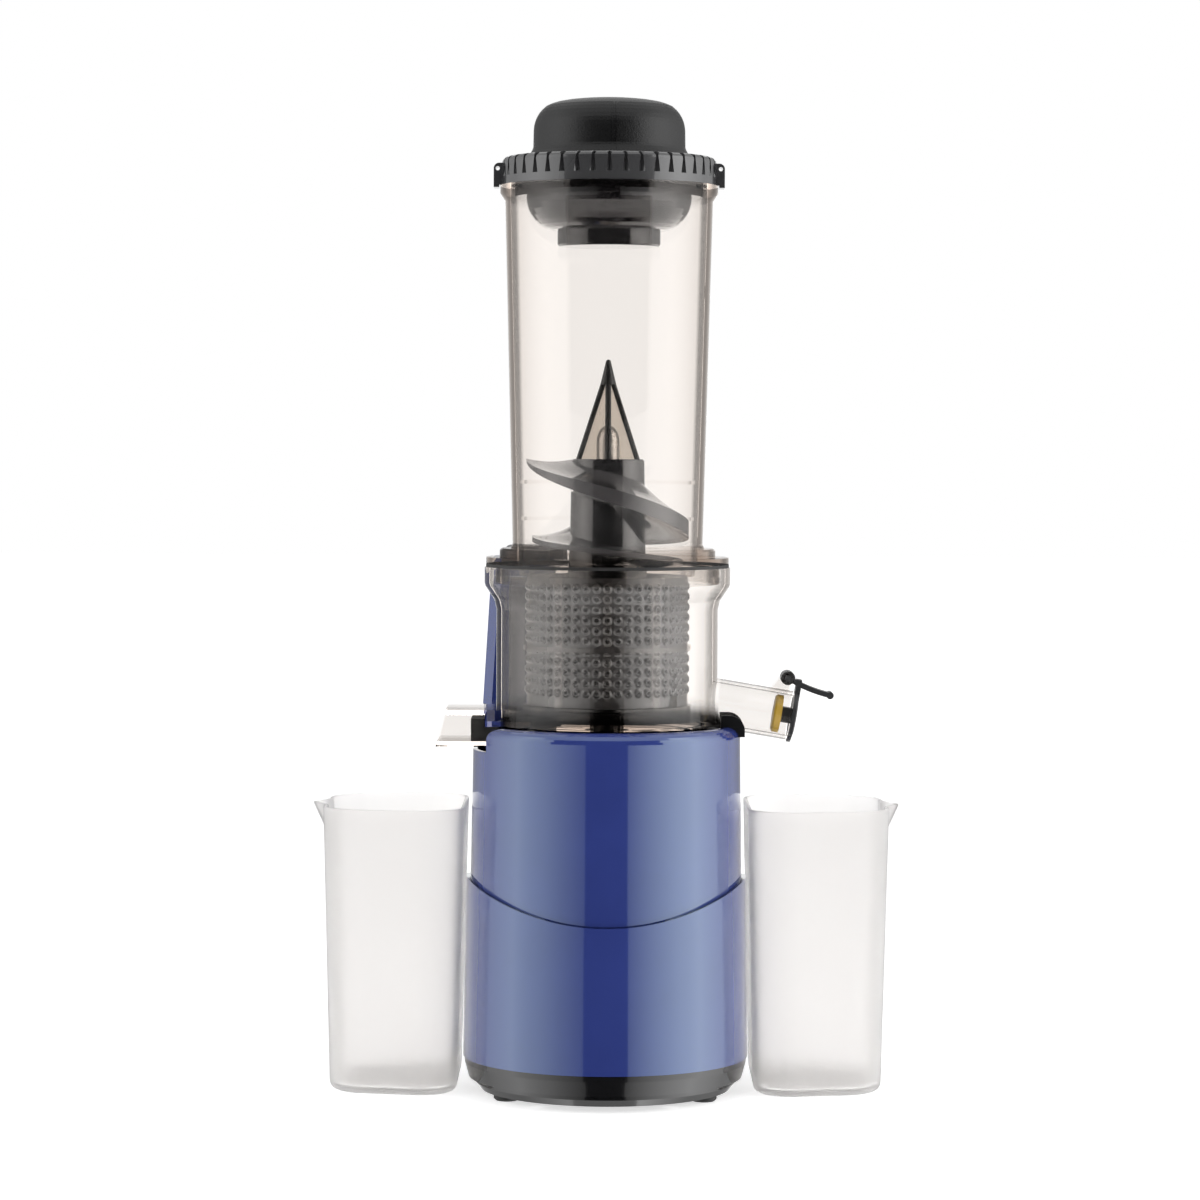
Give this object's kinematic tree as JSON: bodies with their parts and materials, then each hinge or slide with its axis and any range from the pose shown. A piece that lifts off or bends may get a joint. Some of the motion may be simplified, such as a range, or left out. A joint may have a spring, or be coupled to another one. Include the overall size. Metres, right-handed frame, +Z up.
{
  "type": "cold press juicer",
  "caption": "Upright cold press juicer with a clear feed tube, a screw in a strainer, a smoke-clear bowl, a blue body and frosted cups.",
  "frame": {"origin": "in the plane of the table, under the middle of the machine's outline with its cups; the screw's vertical axis stands 15.16 mm in front of it", "axes": "+Z up, +X towards the juice spout, -Y towards the front"},
  "size_m": [0.2604, 0.155, 0.4329],
  "materials": {
    "blue_gloss": "glossy",
    "black_gloss": "glossy",
    "black_matte": "fine matte grain",
    "ring_grey": "satin",
    "grey_plastic": "satin",
    "auger_grey": "glossy",
    "rubber_black": "matte",
    "smoke_clear": "clear, smoke grey",
    "smoke_brown": "clear, smoke brown",
    "frosted": "frosted, translucent",
    "seal_yellow": "satin",
    "steel": "brushed",
    "motor_steel": "brushed",
    "magnet": "matte",
    "aluminium": "cast",
    "board_green": "satin",
    "nylon": "satin"
  },
  "bodies": {
    "base": {"rubber_feet": "rubber_black", "base_plate": "black_gloss", "base_screws": "steel", "lower_shell": "blue_gloss", "upper_shell": "blue_gloss", "top_deck": "black_gloss", "handle_shell": "blue_gloss", "handle_liner": "grey_plastic", "motor_can": "motor_steel", "motor_magnets": "magnet", "motor_end_cap": "aluminium", "gearbox_plate": "steel", "gearbox_cover": "black_matte", "gearbox_screws": "steel", "idler_pin": "steel", "output_bearings": "steel", "shaft_seal": "rubber_black", "control_board": "board_green", "switch_bezel": "black_matte", "switch_pin": "steel", "cord_gland": "rubber_black", "bowl": "smoke_clear", "bowl_seal": "rubber_black", "strainer_frame": "smoke_clear", "strainer_screen": "steel", "pulp_plug": "rubber_black", "cap_pin": "steel"},
    "auger": {"auger": "auger_grey", "auger_bush": "steel", "auger_shaft_cap": "steel", "auger_tip": "black_matte", "tip_panels": "smoke_brown", "drive_shaft": "steel", "output_gear": "nylon"},
    "idler": {"idler_gear": "nylon"},
    "rotor": {"motor_rotor": "motor_steel", "cooling_fan": "black_matte"},
    "spout_cap": {"spout_cap": "black_matte", "spout_seal": "seal_yellow"},
    "rocker": {"rocker_switch": "black_gloss"},
    "hopper": {"hopper": "smoke_clear", "lid_seal": "rubber_black"},
    "pusher": {"pusher_ring": "ring_grey", "pusher_knob": "black_matte", "plunger": "grey_plastic"},
    "juice_cup": {"juice_cup": "frosted"},
    "pulp_cup": {"pulp_cup": "frosted"}
  },
  "joints": [
    {"name": "auger_spin", "type": "hinge", "parent": "base", "child": "auger", "pos_m": [0, -0.01516, 0.15], "axis": [0, 0, -1], "continuous": true},
    {"name": "idler_spin", "type": "hinge", "parent": "base", "child": "idler", "pos_m": [0.0264, -0.01516, 0.09], "axis": [0, 0, -1], "continuous": true},
    {"name": "rotor_spin", "type": "hinge", "parent": "base", "child": "rotor", "pos_m": [0, -0.01516, 0.05], "axis": [0, 0, -1], "continuous": true},
    {"name": "spout_cap_hinge", "type": "hinge", "parent": "base", "child": "spout_cap", "pos_m": [0.07883, -0.01516, 0.1821], "axis": [0, -1, 0], "range_deg": [0, 100]},
    {"name": "rocker_hinge", "type": "hinge", "parent": "base", "child": "rocker", "pos_m": [0, 0.04284, 0.046], "axis": [1, 0, 0], "range_deg": [-12, 12]},
    {"name": "hopper_twist", "type": "hinge", "parent": "base", "child": "hopper", "pos_m": [0, -0.01516, 0.23], "axis": [0, 0, 1], "range_deg": [0, 30]},
    {"name": "pusher_slide", "type": "slide", "parent": "hopper", "child": "pusher", "axis": [0, 0, 1], "range_m": [0, 0.06]},
    {"name": "juice_cup_slide", "type": "slide", "parent": "base", "child": "juice_cup", "axis": [1, 0, 0], "range_m": [0, 0.12]},
    {"name": "pulp_cup_slide", "type": "slide", "parent": "base", "child": "pulp_cup", "axis": [-1, 0, 0], "range_m": [0, 0.12]}
  ],
  "couplings": [
    {"joint": "idler_spin", "follows": "auger_spin", "ratio": -2.6667},
    {"joint": "rotor_spin", "follows": "auger_spin", "ratio": 8.3333}
  ]
}
